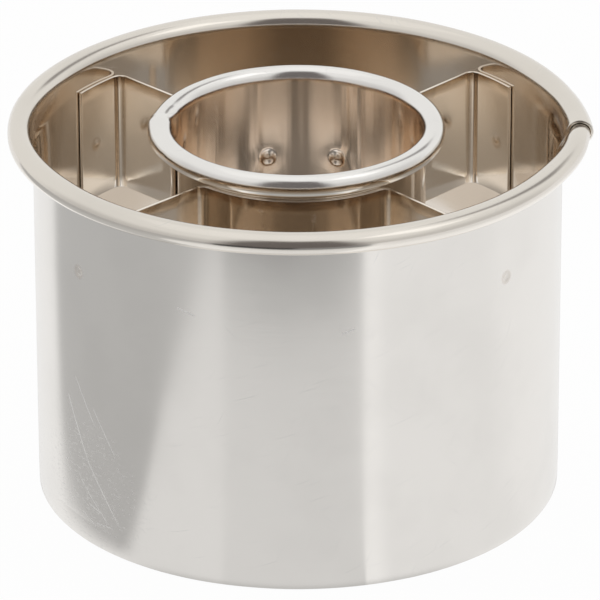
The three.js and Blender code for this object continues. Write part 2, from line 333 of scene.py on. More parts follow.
class Shader:
    """Builds the node tree of one material or world."""

    # Colour sockets of a Mix node
    MIX_A = 6
    MIX_B = 7
    MIX_RESULT = 2

    def __init__(self, tree: bpy.types.NodeTree) -> None:
        """Clears the tree and keeps it."""
        self.tree = tree
        tree.nodes.clear()

    def node(self, kind: str, settings: dict[str, Setting], sockets: dict) -> bpy.types.Node:
        """Adds any node.

        Args:
            kind: The node's type.
            settings: Properties of the node, set before its sockets.
            sockets: Values or signals for its inputs, by name or number.

        Returns:
            The new node.
        """
        node = self.tree.nodes.new(kind)
        for key, value in settings.items():
            setattr(node, key, value)
        for key, value in sockets.items():
            if isinstance(value, Signal):
                self.tree.links.new(value.socket, node.inputs[key])
            else:
                node.inputs[key].default_value = value
        return node

    def read(
        self, kind: str, settings: dict[str, Setting], sockets: dict, output: Union[str, int]
    ) -> Signal:
        """Adds a node and takes one of its outputs.

        Args:
            kind: The node's type.
            settings: Properties of the node.
            sockets: Values or signals for its inputs.
            output: Name or number of the output.

        Returns:
            The output as a signal.
        """
        return Signal(self, self.node(kind, settings, sockets).outputs[output])

    def math(self, operation: str, a: Value, b: Value) -> Signal:
        """Adds a Math node for two values."""
        return self.read("ShaderNodeMath", {"operation": operation}, {0: a, 1: b}, 0)

    def most(self, a: Value, b: Value) -> Signal:
        """Takes the larger of two values."""
        return self.math("MAXIMUM", a, b)

    def length(self, x: Signal, y: Signal) -> Signal:
        """Measures the length of a plane vector."""
        return self.math("SQRT", x * x + y * y, 0.0)

    def between(self, value: Value, low: float, high: float) -> Signal:
        """Eases a value from 0 at low to 1 at high.

        Args:
            value: The value to ease.
            low: Where the result is 0. It may lie above high.
            high: Where the result is 1.

        Returns:
            The eased share.
        """
        sockets = {"Value": value, "From Min": low, "From Max": high}
        settings = {"interpolation_type": "SMOOTHSTEP"}
        return self.read("ShaderNodeMapRange", settings, sockets, "Result")

    def within(self, value: Signal, first: Edge, second: Edge) -> Signal:
        """Gives the share of a value that lies between two soft edges."""
        return self.between(value, *first) * self.between(value, *second)

    def distance(self, vector: Signal, point: Triple) -> Signal:
        """Measures the distance from a point."""
        settings = {"operation": "DISTANCE"}
        return self.read("ShaderNodeVectorMath", settings, {0: vector, 1: point}, "Value")

    def combine(self, x: Value, y: Value, z: Value) -> Signal:
        """Makes a vector from three values."""
        return self.read("ShaderNodeCombineXYZ", {}, {"X": x, "Y": y, "Z": z}, "Vector")

    def split(self, vector: Signal) -> tuple[Signal, Signal, Signal]:
        """Takes a vector apart into its three values."""
        node = self.node("ShaderNodeSeparateXYZ", {}, {"Vector": vector})
        return tuple(Signal(self, output) for output in node.outputs)

    def noise(self, vector: Signal, pattern: Pattern) -> Signal:
        """Samples a pattern's noise between 0 and 1.

        Args:
            vector: Where to sample it.
            pattern: The pattern.

        Returns:
            The noise.
        """
        scaled = {0: vector, 1: pattern.stretch}
        sockets = {
            "Vector": self.read("ShaderNodeVectorMath", {"operation": "MULTIPLY"}, scaled, 0),
            "Scale": 1.0,
            "Detail": pattern.detail,
            "Roughness": pattern.roughness,
        }
        return self.read("ShaderNodeTexNoise", {"noise_dimensions": "3D"}, sockets, 0)

    def blend(self, factor: Value, a: Colour, b: Colour) -> Signal:
        """Mixes two colours.

        Args:
            factor: Share of the second colour.
            a: The first colour.
            b: The second colour.

        Returns:
            The mixed colour.
        """
        settings = {"data_type": "RGBA", "blend_type": "MIX", "clamp_factor": True}
        first, second = (c if isinstance(c, Signal) else (*c, 1.0) for c in (a, b))
        sockets = {0: factor, self.MIX_A: first, self.MIX_B: second}
        return self.read("ShaderNodeMix", settings, sockets, self.MIX_RESULT)


@dataclass(frozen=True)
class Scratch:
    """A straight scratch on the outside of a band.

    Attributes:
        start: Arc length from the front line, towards +X, and height of one end.
        end: The same for the other end.
        width: Width of the mark.
        head: Share of its length in which it deepens.
        tail: Share of its length after which it fades.
        core: Share of its width that is fully marked.
    """

    start: tuple[float, float]
    end: tuple[float, float]
    width: float
    head: float = 0.1
    tail: float = 0.8
    core: float = 0.3


BAND_SCRATCHES = (
    Scratch((-46.6 * MM, 26.0 * MM), (-40.0 * MM, 14.5 * MM), 0.2 * MM),
    Scratch((-41.0 * MM, 16.0 * MM), (-32.0 * MM, 5.0 * MM), 0.22 * MM),
    Scratch((-43.0 * MM, 11.5 * MM), (-35.0 * MM, 5.0 * MM), 0.16 * MM),
    Scratch((-40.5 * MM, 7.5 * MM), (-36.5 * MM, 6.6 * MM), 0.18 * MM),
    Scratch((-44.0 * MM, 30.0 * MM), (-38.0 * MM, 22.0 * MM), 0.12 * MM),
    Scratch((-39.0 * MM, 26.0 * MM), (-33.0 * MM, 18.0 * MM), 0.12 * MM),
    Scratch((-42.5 * MM, 5.5 * MM), (-38.0 * MM, 3.6 * MM), 0.14 * MM),
    Scratch((-38.5 * MM, 4.4 * MM), (-34.0 * MM, 4.9 * MM), 0.14 * MM),
    Scratch((-20.5 * MM, 49.5 * MM), (-17.0 * MM, 48.6 * MM), 0.2 * MM),
    Scratch((7.0 * MM, 46.6 * MM), (9.5 * MM, 47.4 * MM), 0.2 * MM),
)


@dataclass(frozen=True)
class SteelFinish:
    """Rolled stainless sheet with grain along the strip, smudges, scratches and weld tint."""

    name: str
    band_radius: float = BAND_RADIUS

    # Tints of the outside, the inside, the bore of the hole, the rim and the rim's underside
    tint: Triple = (0.88, 0.855, 0.82)
    # The inside and bore tints are painted shade with a painted warm cast of the light in the
    # cutter
    inside_painted_tint: Triple = (0.79, 0.73, 0.66)
    bore_painted_tint: Triple = (0.90, 0.835, 0.765)
    # The rim tint is a painted reflection, and the underside's tint a painted highlight
    rim_reflection_tint: Triple = (0.80, 0.757, 0.70)
    lip_highlight_tint: Triple = (0.98, 0.935, 0.87)

    # Where those tints meet
    inner_radius: float = 60.0 * MM
    inner_edge: Edge = (0.2 * MM, 0.0)
    bore_radius: float = 1.0 * MM
    bore_edge: Edge = (0.1 * MM, 0.0)
    rim_base: float = 63.2 * MM
    rim_edge: Edge = (0.0, 0.8 * MM)
    rim_reach: Edge = (0.1 * MM, 0.4 * MM)
    rim_middle: float = 63.9 * MM
    lip_edge: Edge = (0.3 * MM, -0.5 * MM)

    # Heat round a weld, less in its middle
    weld_tint: Triple = (0.50, 0.38, 0.27)
    weld_heat: float = 0.35
    heat_edge: Edge = (1.5 * MM, 1.0 * MM)
    heat_middle: Edge = (0.4 * MM, 0.9 * MM)
    heat_fade: float = 0.6

    # Gloss
    roughness: float = 0.2
    polish: float = 0.11
    rim_polish: float = 0.3
    grain_roughness: float = 0.06
    smudge_roughness: float = 0.06
    mark_roughness: float = 0.3
    heat_roughness: float = 0.12
    anisotropy: float = 0.6
    grain_turn: float = 0.25

    # Relief and dirt
    relief: float = 0.1 * MM
    grain: Pattern = Pattern((70.0, 70.0, 4200.0), 3.0)
    grain_lift: float = 0.004
    ripple: Pattern = Pattern((90.0, 90.0, 800.0), 2.0)
    ripple_lift: float = 0.012
    flute: Pattern = Pattern((420.0, 420.0, 9.0), 2.0)
    flute_lift: float = 0.03
    smudge: Pattern = Pattern((55.0, 55.0, 55.0), 4.0)
    smudge_edge: Edge = (0.42, 0.72)
    smudge_shade: float = 0.035

    # Hairlines, each set with its lean in radians and its threshold, and a worn place
    hairlines: float = 0.15
    hairline: Pattern = Pattern((160.0, 5200.0, 1.0), 1.0)
    hairline_sets: tuple[tuple[float, float], ...] = ((0.35, 0.70), (1.15, 0.71), (-0.75, 0.72))
    hairline_edge: float = 0.08
    wear: float = 0.0
    wear_place: tuple[float, float] = (-40.0 * MM, 12.0 * MM)
    wear_reach: Edge = (17.0 * MM, 5.0 * MM)
    scuff: Pattern = Pattern((900.0, 1800.0, 1.0), 4.0)
    scuff_edge: Edge = (0.5, 0.7)
    worn_tint: Triple = (0.97, 0.965, 0.96)

    def material(
        self, welds: Sequence[Triple], scratches: Sequence[Scratch] = ()
    ) -> bpy.types.Material:
        """Makes the finish's material.

        Args:
            welds: Places of the weld marks that tint the steel.
            scratches: Single scratches on the outside of a band.

        Returns:
            The material.
        """
        material = bpy.data.materials.new(self.name)
        material.use_nodes = True
        shader = Shader(material.node_tree)
        place = shader.read("ShaderNodeTexCoord", {}, {}, "Object")
        grain = shader.noise(place, self.grain)
        ripple = shader.noise(place, self.ripple)
        flute = shader.noise(place, self.flute)
        smudge = shader.noise(place, self.smudge)
        x, y, z = shader.split(place)
        reach = shader.length(x, y)
        above = shader.between(z - self.rim_base, *self.rim_edge)
        inner = (1.0 - above) * shader.between(reach - self.inner_radius, *self.inner_edge)
        rim = shader.most(above, shader.between(reach - self.band_radius, *self.rim_reach))
        marks = self.marks(shader, place, scratches)
        heat = self.heat(shader, place, welds)

        # The inside's colour is painted shade with a painted warm cast, lighter in the bore
        bore = shader.between(reach - self.bore_radius, *self.bore_edge)
        lip = shader.between(z - self.rim_middle, *self.lip_edge)
        inside = shader.blend(bore, self.inside_painted_tint, self.bore_painted_tint)
        # Painted reflection on the bead: its top, and a lighter underside
        bead = shader.blend(lip, self.rim_reflection_tint, self.lip_highlight_tint)
        steel = shader.blend(rim, shader.blend(inner, self.tint, inside), bead)
        dirt = shader.between(smudge, *self.smudge_edge) * self.smudge_shade
        worn = shader.blend(marks, shader.blend(dirt, steel, BLACK), self.worn_tint)
        rough = (
            self.roughness
            - (inner + rim * self.rim_polish) * self.polish
            + (grain - NOISE_MIDDLE) * self.grain_roughness
            + (smudge - NOISE_MIDDLE) * self.smudge_roughness
            + marks * self.mark_roughness
            + heat * self.heat_roughness
        )
        rolled = ripple * self.ripple_lift + flute * self.flute_lift
        relief = {
            "Strength": 1.0,
            "Distance": self.relief,
            "Height": grain * self.grain_lift + inner * rolled,
        }
        sockets = {
            "Base Color": shader.blend(heat * self.weld_heat, worn, self.weld_tint),
            "Metallic": 1.0 - marks,
            "Roughness": rough,
            "Normal": shader.read("ShaderNodeBump", {}, relief, "Normal"),
            "Anisotropic": self.anisotropy,
            "Anisotropic Rotation": self.grain_turn,
        }
        surface = shader.read("ShaderNodeBsdfPrincipled", {}, sockets, "BSDF")
        shader.node("ShaderNodeOutputMaterial", {}, {"Surface": surface})
        return material

    def heat(self, shader: Shader, place: Signal, welds: Sequence[Triple]) -> Value:
        """Draws the heat marks round welds.

        Args:
            shader: The shader to add to.
            place: Object coordinates.
            welds: Places of the welds.

        Returns:
            A mask of the heat marks.
        """
        heat: Value = 0.0
        for weld in welds:
            away = shader.distance(place, weld)
            ring = shader.between(away, *self.heat_middle) * self.heat_fade + (1.0 - self.heat_fade)
            heat = shader.most(shader.between(away, *self.heat_edge) * ring, heat)
        return heat

    def marks(self, shader: Shader, place: Signal, scratches: Sequence[Scratch]) -> Signal:
        """Draws hairlines, the worn place and single scratches on a band that is rolled out flat.

        Args:
            shader: The shader to add to.
            place: Object coordinates.
            scratches: The single scratches.

        Returns:
            A mask of all the marks.
        """
        x, y, z = shader.split(place)
        across = shader.math("ARCTAN2", x, -y) * self.band_radius
        lines = self.hairline_mask(shader, across, z) * self.hairlines
        marks = shader.most(lines, self.wear_mask(shader, across, z))
        for scratch in scratches:
            marks = shader.most(marks, self.scratch_mask(shader, across, z, scratch))
        return marks

    def hairline_mask(self, shader: Shader, across: Signal, up: Signal) -> Value:
        """Draws short hairline scratches that lean several ways.

        Args:
            shader: The shader to add to.
            across: Arc length from the front line.
            up: Height.

        Returns:
            A mask of the hairlines.
        """
        lines: Value = 0.0
        for lean, threshold in self.hairline_sets:
            run = across * math.cos(lean) + up * math.sin(lean)
            side = up * math.cos(lean) - across * math.sin(lean)
            streak = shader.noise(shader.combine(run, side, lean), self.hairline)
            line = shader.between(streak, threshold, threshold + self.hairline_edge)
            lines = shader.most(line, lines)
        return lines

    def wear_mask(self, shader: Shader, across: Signal, up: Signal) -> Signal:
        """Draws fine scuffs round a worn place, low on the left of a band.

        Args:
            shader: The shader to add to.
            across: Arc length from the front line.
            up: Height.

        Returns:
            A mask of the scuffs.
        """
        flat = shader.combine(across, up, 0.0)
        near = shader.between(shader.distance(flat, (*self.wear_place, 0.0)), *self.wear_reach)
        scuff = shader.between(shader.noise(flat, self.scuff), *self.scuff_edge)
        return scuff * near * self.wear

    @staticmethod
    def scratch_mask(shader: Shader, across: Signal, up: Signal, scratch: Scratch) -> Signal:
        """Draws one straight scratch.

        Args:
            shader: The shader to add to.
            across: Arc length from the front line.
            up: Height.
            scratch: The scratch.

        Returns:
            A mask of the scratch.
        """
        run = (scratch.end[0] - scratch.start[0], scratch.end[1] - scratch.start[1])
        length = math.hypot(*run)
        unit = (run[0] / length, run[1] / length)
        right = across - scratch.start[0]
        rise = up - scratch.start[1]
        along = right * unit[0] + rise * unit[1]
        aside = abs(right * unit[1] - rise * unit[0])
        head = shader.between(along, 0.0, scratch.head * length)
        tail = shader.between(along, length, scratch.tail * length)
        return shader.between(aside, scratch.width, scratch.core * scratch.width) * (head * tail)


@dataclass(frozen=True)
class Station:
    """One place along a ring's strip.

    Attributes:
        angle: Angle round the axis.
        band_shift: Lap steps by which the band moves to its face's side, inwards.
        bead_shift: Lap steps by which the bead moves to its face's side, so that it widens.
        bead_offset: How far the bead moves outwards.
        from_end: Distance from the nearer end of the strip.
        thinning: Sheet that is worn off its face.
        squeeze: How far the bead's inner side stands out from the band.
    """

    angle: float
    band_shift: float
    bead_shift: float
    bead_offset: float
    from_end: float
    thinning: float
    squeeze: float


@dataclass
class RolledRing:
    """A strip rolled into a band, lapped at its ends, that runs up into a rolled oval bead."""

    node: str
    slot: str
    radius: float
    height: float
    rim_width: float
    rim_height: float
    lap_angle: float
    lap_length: float
    dents: list[Dent]
    side_squeeze: float = 0.0
    squeeze_spread: float = math.radians(36.0)
    end_thinning: float = 0.0
    thinning_length: float = 2.5 * MM
    tip_lift: float = 0.62
    seam_inset: float = 14.0 * MM
    seam_dent_size: float = 0.6
    seam_welds: int = 3
    sheet: float = 0.5 * MM
    least_sheet: float = 0.05 * MM
    edge_land: float = 0.45 * MM
    bevel_height: float = 3.9 * MM
    groove: float = 0.1 * MM
    groove_depth: float = 0.012 * MM
    neck: float = 4.0 * MM
    ease_length: float = 4.0 * MM
    lip_angle: float = math.radians(110.0)
    faying_gap: float = 0.1 * MM
    spring: float = 0.3 * MM
    spring_angle: float = math.radians(6.0)
    spring_spread: float = math.radians(17.0)
    stray: float = 0.02 * MM
    edge_radius: float = 0.1 * MM

    # Fineness of the mesh
    station_step: float = math.radians(1.25)
    lap_stations: int = 16
    ease_stations: int = 8
    wall_rows: int = 16
    neck_rows: int = 8
    bead_rows: int = 32
    fine_step: float = 0.34 * MM
    fine_reach: float = 2.3 * MM
    least_station: float = 0.02 * MM
    least_row: float = 0.012 * MM
    bevel_margin: float = 1.0 * MM

    # Shifts past which one end of the strip hides the other's marks
    band_cover: float = 0.15
    bead_cover: float = -0.05

    @property
    def lap_step(self) -> float:
        """Distance between the middles of two lapped sheets."""
        return self.sheet + self.faying_gap

    @property
    def seam_angle(self) -> float:
        """Angle of the middle of the lap."""
        return self.lap_angle + self.lap_length / self.radius / 2.0

    def all_dents(self) -> list[Dent]:
        """Lists the dents of the straps' welds and of the lap's own welds.

        Returns:
            Every dent of the ring.
        """
        top = self.height - self.rim_height - self.seam_inset
        heights = np.linspace(self.seam_inset, top, self.seam_welds)
        return self.dents + [
            Dent(self.seam_angle, float(height), side, self.seam_dent_size)
            for height in heights
            for side in Side
        ]

    def stations(self) -> list[Station]:
        """Lays out the places along the strip.

        Returns:
            The places, from the end that covers to the covered end.
        """
        lap = self.lap_length / self.radius
        ease = self.ease_length / self.radius
        turn = 2.0 * math.pi
        total = turn + lap
        edge = EDGE_ROWS[1:] * self.edge_radius / self.radius
        places = [*np.arange(0.0, total, self.station_step), total, *edge, *(total - edge)]
        places += list(np.linspace(0.0, lap, self.lap_stations))
        places += list(np.linspace(lap, lap + ease, self.ease_stations))
        places += list(np.linspace(turn - ease, turn, self.ease_stations))
        fine = np.arange(-self.fine_reach, self.fine_reach, self.fine_step) / self.radius
        for dent in self.all_dents():
            start = (dent.along - self.lap_angle) % turn
            near = np.concatenate([start + fine, start + turn + fine])
            places += list(near[(near > 0.0) & (near < total)])

        along = spread(places, self.least_station / self.radius)
        angle = self.lap_angle + along
        band_shift = 1.0 - smooth((along - lap) / ease)
        covering = np.clip(1.0 - along / (lap + ease), 0.0, 1.0)
        covered = smooth(1.0 + (along - turn) / ease)
        under = covered * (1.0 - np.clip((along - turn) / (lap + ease), 0.0, 1.0))
        lift = self.tip_lift * (covering + under)
        from_spring = along + self.spring_angle
        aside = np.minimum(abs(from_spring), abs(from_spring - turn))
        spring = self.spring * (1.0 - smooth(aside / self.spring_spread))
        from_end = np.minimum(along, total - along) * self.radius
        thinning = self.end_thinning * (1.0 - smooth(along * self.radius / self.thinning_length))
        from_side = (angle + math.pi / 2.0) % math.pi - math.pi / 2.0
        squeeze = self.side_squeeze * (1.0 - smooth(abs(from_side) / self.squeeze_spread))
        bead_offset = lift * self.lap_step + spring
        bead_shift = lift - covered
        columns = (angle, band_shift, bead_shift, bead_offset, from_end, thinning, squeeze)
        return [Station(*map(float, values)) for values in zip(*columns)]

    def upright_heights(self) -> np.ndarray:
        """Lists the heights of the rows on the upright band.

        Returns:
            The heights, from the cutting edge to the neck.
        """
        top = self.height - self.rim_height / 2.0 - self.neck
        heights = list(EDGE_ROWS * self.edge_radius)
        heights += [self.bevel_height + step * self.groove for step in (-1.0, 0.0, 1.0)]
        heights += list(np.linspace(self.bevel_height + self.bevel_margin, top, self.wall_rows))
        fine = np.arange(-self.fine_reach, self.fine_reach, self.fine_step)
        for height in sorted({dent.height for dent in self.all_dents()}):
            heights += list(height + fine)
        return spread([height for height in heights if height <= top], self.least_row)

    def section(self, station: Station) -> tuple[np.ndarray, np.ndarray]:
        """Works out the sheet's two faces at one station.

        Args:
            station: The place along the strip.

        Returns:
            Rows of (radius, height) for the face that looks inwards from the band and outwards
            from the bead, and for the other face.
        """
        swell = station.bead_shift * self.lap_step
        half_width = (self.rim_width - self.sheet - station.squeeze) / 2.0
        half_height = (self.rim_height - self.sheet) / 2.0
        middle_radius = self.radius - self.sheet / 2.0
        band_x = middle_radius - station.band_shift * self.lap_step
        bead_x = middle_radius + half_width + station.squeeze + station.bead_offset
        bead_y = self.height - self.rim_height / 2.0

        wall = self.upright_heights()
        climb = np.linspace(0.0, 1.0, self.neck_rows + 1)[1:-1]
        upright = np.concatenate([wall, wall[-1] + climb * (bead_y - wall[-1])])
        change = np.concatenate([np.zeros_like(wall), smooth(climb)])
        aside = band_x + change * (bead_x - half_width - swell - band_x)
        near_lip = EDGE_ROWS[::-1] * self.edge_radius / (half_width + swell)
        bead_turns = np.linspace(math.pi, 2.0 * near_lip[0] - self.lip_angle, self.bead_rows)
        bead_turns = np.concatenate([bead_turns, near_lip - self.lip_angle])
        parts = [
            (np.stack([aside, upright], axis=1), np.tile((-1.0, 0.0), (len(upright), 1))),
            oval((bead_x, bead_y), half_width + swell, half_height + swell, bead_turns),
        ]
        middle = np.concatenate([points for points, _ in parts])
        away = np.concatenate([direction for _, direction in parts])

        bevel = np.clip(1.0 - upright / self.bevel_height, 0.0, 1.0)
        scribe = np.clip(1.0 - abs(upright - self.bevel_height) / self.groove, 0.0, 1.0)
        cut = (self.sheet - self.edge_land) * bevel + self.groove_depth * scribe
        ground = np.concatenate([cut, np.zeros(len(middle) - len(upright))])
        to_lip = (bead_turns + self.lip_angle) * (half_width + swell)
        from_edge = np.concatenate([upright, to_lip])
        from_end = np.full_like(from_edge, station.from_end)
        draw_back = np.maximum(
            edge_round(from_edge, self.edge_radius), edge_round(from_end, self.edge_radius)
        )
        half = self.sheet / 2.0 - draw_back
        face_half = np.maximum(half - station.thinning, self.least_sheet - half)
        face = middle + away * face_half[:, None]
        back = middle - away * (half - ground)[:, None]
        return face, back

    def press(self, points: np.ndarray, station: Station, side: Side) -> np.ndarray:
        """Presses the weld marks into one face at one station.

        Args:
            points: Rows of (radius, height).
            station: The place along the strip.
            side: The face.

        Returns:
            The pressed rows.
        """
        if side is Side.BACK:
            hidden = station.band_shift > self.band_cover
        else:
            hidden = station.bead_shift < self.bead_cover
        if hidden:
            return points
        pressed = points.copy()
        inwards = 1.0 if side is Side.FACE else -1.0
        for dent in self.all_dents():
            if dent.side is side:
                turn = (station.angle - dent.along + math.pi) % (2.0 * math.pi) - math.pi
                distance = np.hypot(turn * self.radius, points[:, 1] - dent.height)
                pressed[:, 0] += inwards * DENT.sink(distance, dent)
        return pressed

    def wobble(self, angle: float) -> float:
        """Gives how far the rolled band strays from a true circle."""
        waves = (part * math.sin(count * angle + turn) for count, part, turn in WAVES)
        return self.stray * sum(waves)

    def build(self) -> bpy.types.Object:
        """Builds the ring's mesh and lets it stand for its CAD node.

        Returns:
            The ring.
        """
        grids: dict[Side, list[np.ndarray]] = {side: [] for side in Side}
        for station in self.stations():
            for side, points in zip(Side, self.section(station)):
                points = self.press(points, station, side)
                reach = points[:, 0] + self.wobble(station.angle)
                across, deep = reach * math.cos(station.angle), reach * math.sin(station.angle)
                grids[side].append(np.stack([across, deep, points[:, 1]], axis=1))
        face, back = (np.array(grids[side]) for side in Side)
        return settle(shell(f"{self.node}_sheet", face, back), self.slot, self.node)

    def weld_places(self) -> list[Triple]:
        """Finds the straps' weld marks.

        Returns:
            Their places on the middle of the sheet.
        """
        reach = self.radius - self.sheet / 2.0
        return [(*polar(reach, dent.along), dent.height) for dent in self.dents]


@dataclass
class HatStrap:
    """A hat-shaped strip: foot, leg, arc round the inner ring, leg and foot."""

    node: str
    angle: float
    slot: str = "strap_steel"
    sheet: float = 0.5 * MM
    width: float = 20.9 * MM
    bottom: float = 39.5 * MM
    bend_radius: float = 1.5 * MM
    foot_lengths: tuple[float, float] = (10.6 * MM, 10.6 * MM)
    leg_angle: float = math.radians(44.0)
    arc_radius: float = 21.85 * MM
    foot_radius: float = 43.6 * MM
    foot_dent_size: float = 0.6
    ring_dent_size: float = 0.8
    foot_weld_reach: float = 6.5 * MM
    ring_weld_spacing: float = 12.2 * MM
    ring_weld_shift: float = 0.0
    weld_drop: float = 0.5 * MM
    lean: float = 0.0
    edge_radius: float = 0.12 * MM

    # Fineness of the mesh
    arc_step: float = math.radians(1.5)
    bend_steps: int = 12
    foot_steps: int = 24
    plain_rows: int = 10
    fine_step: float = 0.36 * MM
    fine_reach: float = 2.2 * MM
    least_row: float = 0.01 * MM

    @property
    def weld_height(self) -> float:
        """Height of the strap's welds."""
        return self.bottom + self.width / 2.0 - self.weld_drop

    def weld_radius(self, row: WeldRow) -> float:
        """Radius of the strap's middle line at its welds."""
        return self.foot_radius if row is WeldRow.FOOT else self.arc_radius

    def weld_turns(self, row: WeldRow) -> list[float]:
        """Finds the welds of a row.

        Args:
            row: The row of welds.

        Returns:
            Angles from the strap's middle to its two welds.
        """
        if row is WeldRow.FOOT:
            turn = self.leg_angle + self.foot_weld_reach / self.foot_radius
            return [-turn, turn]
        turn = self.ring_weld_spacing / (2.0 * CORE_RADIUS)
        return [self.ring_weld_shift - turn, self.ring_weld_shift + turn]

    def half_line(self, foot_length: float) -> tuple[np.ndarray, np.ndarray]:
        """Lays out half of the strip's middle line in plan, from its arc's middle on +X.

        Args:
            foot_length: Length from the leg's middle line to the end of the foot.

        Returns:
            The points, and the direction at each to the side away from the inner ring.
        """
        bend = self.bend_radius + self.sheet / 2.0
        arc_end = self.leg_angle - math.asin(bend / (self.arc_radius + bend))
        foot_start = self.leg_angle + math.asin(bend / (self.foot_radius - bend))
        foot_end = self.leg_angle + foot_length / self.foot_radius
        near = EDGE_ROWS[::-1] * self.edge_radius / self.foot_radius
        quarter = math.pi / 2.0
        hug = np.linspace(0.0, arc_end, int(arc_end / self.arc_step) + 1)[:-1]
        first = np.linspace(arc_end + math.pi, self.leg_angle + quarter, self.bend_steps)
        second = np.linspace(self.leg_angle - quarter, foot_start, self.bend_steps)
        foot = np.linspace(foot_start, foot_end, self.foot_steps)[1:-1]

        parts = [
            arc((0.0, 0.0), self.arc_radius, hug),
            arc(polar(self.arc_radius + bend, arc_end), bend, first),
            arc(polar(self.foot_radius - bend, foot_start), bend, second),
            arc((0.0, 0.0), self.foot_radius, np.concatenate([foot, foot_end - near])),
        ]
        parts[1] = (parts[1][0], -parts[1][1])
        return np.concatenate([p for p, _ in parts]), np.concatenate([a for _, a in parts])

    def dents(self, line: np.ndarray, along: np.ndarray) -> list[Dent]:
        """Finds the strip's weld marks.

        Args:
            line: Points of the whole middle line.
            along: Length along the strip at each point.

        Returns:
            A mark on each foot and two on the arc.
        """
        turns = np.arctan2(line[:, 1], line[:, 0])
        reach = np.hypot(line[:, 0], line[:, 1])
        height = self.weld_height - self.bottom
        marks: list[Dent] = []
        for row, side, size in (
            (WeldRow.FOOT, Side.BACK, self.foot_dent_size),
            (WeldRow.RING, Side.FACE, self.ring_dent_size),
        ):
            radius = self.weld_radius(row)
            for turn in self.weld_turns(row):
                miss = abs(turns - turn) + abs(reach - radius) / radius
                marks.append(Dent(float(along[np.argmin(miss)]), height, side, size))
        return marks

    def build(self) -> bpy.types.Object:
        """Builds the strap's mesh and lets it stand for its CAD node.

        Returns:
            The strap.
        """
        halves = [self.half_line(length) for length in self.foot_lengths]
        (first, first_away), (second, second_away) = halves
        mirror = np.array([1.0, -1.0])
        line = np.concatenate([first[:0:-1] * mirror, second])
        away = np.concatenate([first_away[:0:-1] * mirror, second_away])
        steps = np.linalg.norm(np.diff(line, axis=0), axis=1)
        along = np.concatenate([[0.0], np.cumsum(steps)])
        near = EDGE_ROWS * self.edge_radius
        plain = np.linspace(near[-1], self.width - near[-1], self.plain_rows)
        fine = self.width / 2.0 + np.arange(-self.fine_reach, self.fine_reach, self.fine_step)
        rows = spread([*near, *(self.width - near), *plain, *fine], self.least_row)

        from_edge = np.minimum(rows, self.width - rows)
        from_end = np.minimum(along, along[-1] - along)
        draw_back = np.maximum(
            edge_round(from_edge, self.edge_radius)[None, :],
            edge_round(from_end, self.edge_radius)[:, None],
        )
        half_sheet = self.sheet / 2.0 - draw_back
        sink = {side: np.zeros_like(half_sheet) for side in Side}
        for dent in self.dents(line, along):
            distance = np.hypot(along[:, None] - dent.along, rows[None, :] - dent.height)
            sink[dent.side] += DENT.sink(distance, dent)

        cosine, sine = math.cos(self.angle), math.sin(self.angle)
        turn = np.array([[cosine, sine], [-sine, cosine]])
        line = line @ turn
        away = away @ turn

        def grid(offset: np.ndarray) -> np.ndarray:
            """Lays out points beside the middle line.

            Args:
                offset: Offset of each point from the line.

            Returns:
                The points, by station and row.
            """
            flat = line[:, None, :] + away[:, None, :] * offset[:, :, None]
            rise = self.lean * (line[:, :1] + self.foot_radius)
            heights = self.bottom + rows[None, :] + rise
            return np.concatenate([flat, heights[:, :, None]], axis=2)

        face = grid(half_sheet - sink[Side.FACE])
        back = grid(-half_sheet + sink[Side.BACK])
        return settle(shell(f"{self.node}_strip", face, back), self.slot, self.node)

    def weld_places(self) -> list[Triple]:
        """Finds the strap's weld marks.

        Returns:
            Their places on the middle of the strip.
        """
        return [
            (*polar(self.weld_radius(row), self.angle + turn), self.weld_height)
            for row in WeldRow
            for turn in self.weld_turns(row)
        ]


